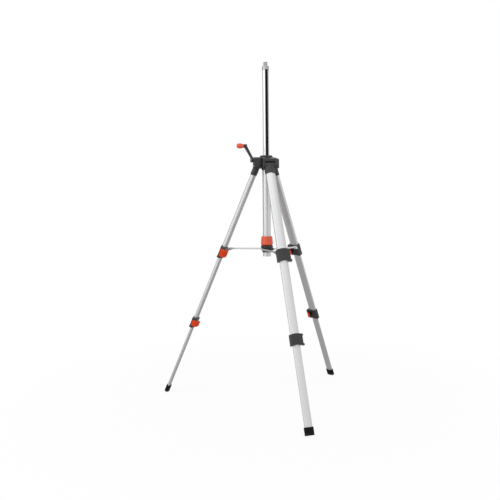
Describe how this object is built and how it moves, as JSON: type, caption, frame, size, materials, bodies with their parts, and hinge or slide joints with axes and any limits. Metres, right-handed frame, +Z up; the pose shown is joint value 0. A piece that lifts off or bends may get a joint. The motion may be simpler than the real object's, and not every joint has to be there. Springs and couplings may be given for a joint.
{
  "type": "laser level tripod",
  "caption": "Tripod with telescoping legs, flip-lever clamps, a sliding brace and a geared column that lifts a threaded stud for a laser level.",
  "frame": {"origin": "on the floor, plumb under the stud, on the column's axis", "axes": "+Z up along the column; the front leg points along -Y, the crank along -X"},
  "size_m": [0.7568, 0.6601, 1.3],
  "materials": {
    "black_plastic": "fine grained moulding",
    "orange_plastic": "satin moulding",
    "black_rubber": "dull rubber",
    "satin_aluminium": "satin anodised extrusion",
    "strut_aluminium": "brushed strip",
    "chrome_column": "bright plated tube",
    "turned_aluminium": "turned",
    "plated_steel": "zinc plated",
    "blackened_steel": "blackened rivets",
    "rack_nylon": "moulded teeth",
    "natural_nylon": "plain moulding"
  },
  "bodies": {
    "head": {"head_body": "black_plastic", "head_cap": "black_plastic", "leg_pivot_pins": "blackened_steel", "housing_cover": "black_plastic", "cover_screws": "plated_steel", "sleeve_tube": "satin_aluminium", "guide_bush": "natural_nylon"},
    "column": {"column_tube": "chrome_column", "column_rack": "rack_nylon", "column_collar": "turned_aluminium", "stud": "plated_steel", "column_plug": "natural_nylon"},
    "crank": {"crank_shaft": "plated_steel", "pinion": "natural_nylon", "crank_arm": "black_plastic", "knob_axle": "plated_steel"},
    "knob": {"crank_knob": "orange_plastic"},
    "hub": {"brace_hub": "black_plastic", "hub_pins": "plated_steel"},
    "nut": {"lock_nut": "orange_plastic"},
    "front_leg": {"front_leg_socket": "black_plastic", "front_upper_tube": "satin_aluminium", "front_upper_collar": "black_plastic", "front_strut_bracket": "strut_aluminium"},
    "front_middle_leg": {"front_middle_tube": "satin_aluminium", "front_middle_shoe": "natural_nylon", "front_lower_collar": "black_plastic"},
    "front_lower_leg": {"front_lower_tube": "satin_aluminium", "front_lower_shoe": "natural_nylon", "front_foot": "black_rubber"},
    "front_upper_latch": {"front_upper_lever": "orange_plastic"},
    "front_lower_latch": {"front_lower_lever": "orange_plastic"},
    "front_brace": {"front_strut": "strut_aluminium"},
    "right_leg": {"right_leg_socket": "black_plastic", "right_upper_tube": "satin_aluminium", "right_upper_collar": "black_plastic", "right_strut_bracket": "strut_aluminium"},
    "right_middle_leg": {"right_middle_tube": "satin_aluminium", "right_middle_shoe": "natural_nylon", "right_lower_collar": "black_plastic"},
    "right_lower_leg": {"right_lower_tube": "satin_aluminium", "right_lower_shoe": "natural_nylon", "right_foot": "black_rubber"},
    "right_upper_latch": {"right_upper_lever": "orange_plastic"},
    "right_lower_latch": {"right_lower_lever": "orange_plastic"},
    "right_brace": {"right_strut": "strut_aluminium"},
    "left_leg": {"left_leg_socket": "black_plastic", "left_upper_tube": "satin_aluminium", "left_upper_collar": "black_plastic", "left_strut_bracket": "strut_aluminium"},
    "left_middle_leg": {"left_middle_tube": "satin_aluminium", "left_middle_shoe": "natural_nylon", "left_lower_collar": "black_plastic"},
    "left_lower_leg": {"left_lower_tube": "satin_aluminium", "left_lower_shoe": "natural_nylon", "left_foot": "black_rubber"},
    "left_upper_latch": {"left_upper_lever": "orange_plastic"},
    "left_lower_latch": {"left_lower_lever": "orange_plastic"},
    "left_brace": {"left_strut": "strut_aluminium"}
  },
  "joints": [
    {"name": "column_lift", "type": "slide", "parent": "head", "child": "column", "axis": [0, 0, 1], "range_m": [-0.316, 0]},
    {"name": "crank_turn", "type": "hinge", "parent": "head", "child": "crank", "pos_m": [0, -0.01865, 0.93], "axis": [1, 0, 0], "range_deg": [-2415.1, 0]},
    {"name": "knob_spin", "type": "hinge", "parent": "crank", "child": "knob", "pos_m": [-0.09565, -0.01865, 0.981], "axis": [1, 0, 0], "continuous": true},
    {"name": "hub_slide", "type": "slide", "parent": "head", "child": "hub", "axis": [0, 0, 1], "range_m": [0, 0.11499]},
    {"name": "nut_turn", "type": "hinge", "parent": "hub", "child": "nut", "pos_m": [0, 0, 0.58823], "axis": [0, 0, 1], "range_deg": [0, 180]},
    {"name": "front_leg_fold", "type": "hinge", "parent": "head", "child": "front_leg", "pos_m": [0, -0.036, 0.9096], "axis": [1, 0, 0], "range_deg": [0, 20.2]},
    {"name": "front_middle_slide", "type": "slide", "parent": "front_leg", "child": "front_middle_leg", "axis": [0, 0.3939, 0.9191], "range_m": [0, 0.255]},
    {"name": "front_lower_slide", "type": "slide", "parent": "front_middle_leg", "child": "front_lower_leg", "axis": [0, 0.3939, 0.9191], "range_m": [0, 0.255]},
    {"name": "front_upper_latch_open", "type": "hinge", "parent": "front_leg", "child": "front_upper_latch", "pos_m": [0.0272, -0.17125, 0.60038], "axis": [0, -0.3939, -0.9191], "range_deg": [0, 105]},
    {"name": "front_lower_latch_open", "type": "hinge", "parent": "front_middle_leg", "child": "front_lower_latch", "pos_m": [0.0252, -0.29357, 0.31499], "axis": [0, -0.3939, -0.9191], "range_deg": [0, 105]},
    {"name": "front_brace_swing", "type": "hinge", "parent": "hub", "child": "front_brace", "pos_m": [-0.0223, -0.012, 0.58823], "axis": [1, 0, 0], "range_deg": [0, 83.42]},
    {"name": "right_leg_fold", "type": "hinge", "parent": "head", "child": "right_leg", "pos_m": [0.03118, 0.018, 0.9096], "axis": [-0.5, 0.866, 0], "range_deg": [0, 20.2]},
    {"name": "right_middle_slide", "type": "slide", "parent": "right_leg", "child": "right_middle_leg", "axis": [-0.3412, -0.197, 0.9191], "range_m": [0, 0.255]},
    {"name": "right_lower_slide", "type": "slide", "parent": "right_middle_leg", "child": "right_lower_leg", "axis": [-0.3412, -0.197, 0.9191], "range_m": [0, 0.255]},
    {"name": "right_upper_latch_open", "type": "hinge", "parent": "right_leg", "child": "right_upper_latch", "pos_m": [0.13471, 0.10918, 0.60038], "axis": [0.3412, 0.197, -0.9191], "range_deg": [0, 105]},
    {"name": "right_lower_latch_open", "type": "hinge", "parent": "right_middle_leg", "child": "right_lower_latch", "pos_m": [0.24164, 0.16861, 0.31499], "axis": [0.3412, 0.197, -0.9191], "range_deg": [0, 105]},
    {"name": "right_brace_swing", "type": "hinge", "parent": "hub", "child": "right_brace", "pos_m": [0.02154, -0.01331, 0.58823], "axis": [-0.5, 0.866, 0], "range_deg": [0, 83.42]},
    {"name": "left_leg_fold", "type": "hinge", "parent": "head", "child": "left_leg", "pos_m": [-0.03118, 0.018, 0.9096], "axis": [-0.5, -0.866, 0], "range_deg": [0, 20.2]},
    {"name": "left_middle_slide", "type": "slide", "parent": "left_leg", "child": "left_middle_leg", "axis": [0.3412, -0.197, 0.9191], "range_m": [0, 0.255]},
    {"name": "left_lower_slide", "type": "slide", "parent": "left_middle_leg", "child": "left_lower_leg", "axis": [0.3412, -0.197, 0.9191], "range_m": [0, 0.255]},
    {"name": "left_upper_latch_open", "type": "hinge", "parent": "left_leg", "child": "left_upper_latch", "pos_m": [-0.16191, 0.06207, 0.60038], "axis": [-0.3412, 0.197, -0.9191], "range_deg": [0, 105]},
    {"name": "left_lower_latch_open", "type": "hinge", "parent": "left_middle_leg", "child": "left_lower_latch", "pos_m": [-0.26684, 0.12496, 0.31499], "axis": [-0.3412, 0.197, -0.9191], "range_deg": [0, 105]},
    {"name": "left_brace_swing", "type": "hinge", "parent": "hub", "child": "left_brace", "pos_m": [0.00076, 0.02531, 0.58823], "axis": [-0.5, -0.866, 0], "range_deg": [0, 83.42]}
  ],
  "couplings": [
    {"joint": "crank_turn", "follows": "column_lift", "rad_per_m": 133.33},
    {"joint": "hub_slide", "follows": "front_leg_fold", "m_per_rad": 0.32475},
    {"joint": "front_brace_swing", "follows": "front_leg_fold", "ratio": 4.1199},
    {"joint": "right_leg_fold", "follows": "front_leg_fold", "ratio": 1},
    {"joint": "right_brace_swing", "follows": "front_leg_fold", "ratio": 4.1199},
    {"joint": "left_leg_fold", "follows": "front_leg_fold", "ratio": 1},
    {"joint": "left_brace_swing", "follows": "front_leg_fold", "ratio": 4.1199}
  ]
}
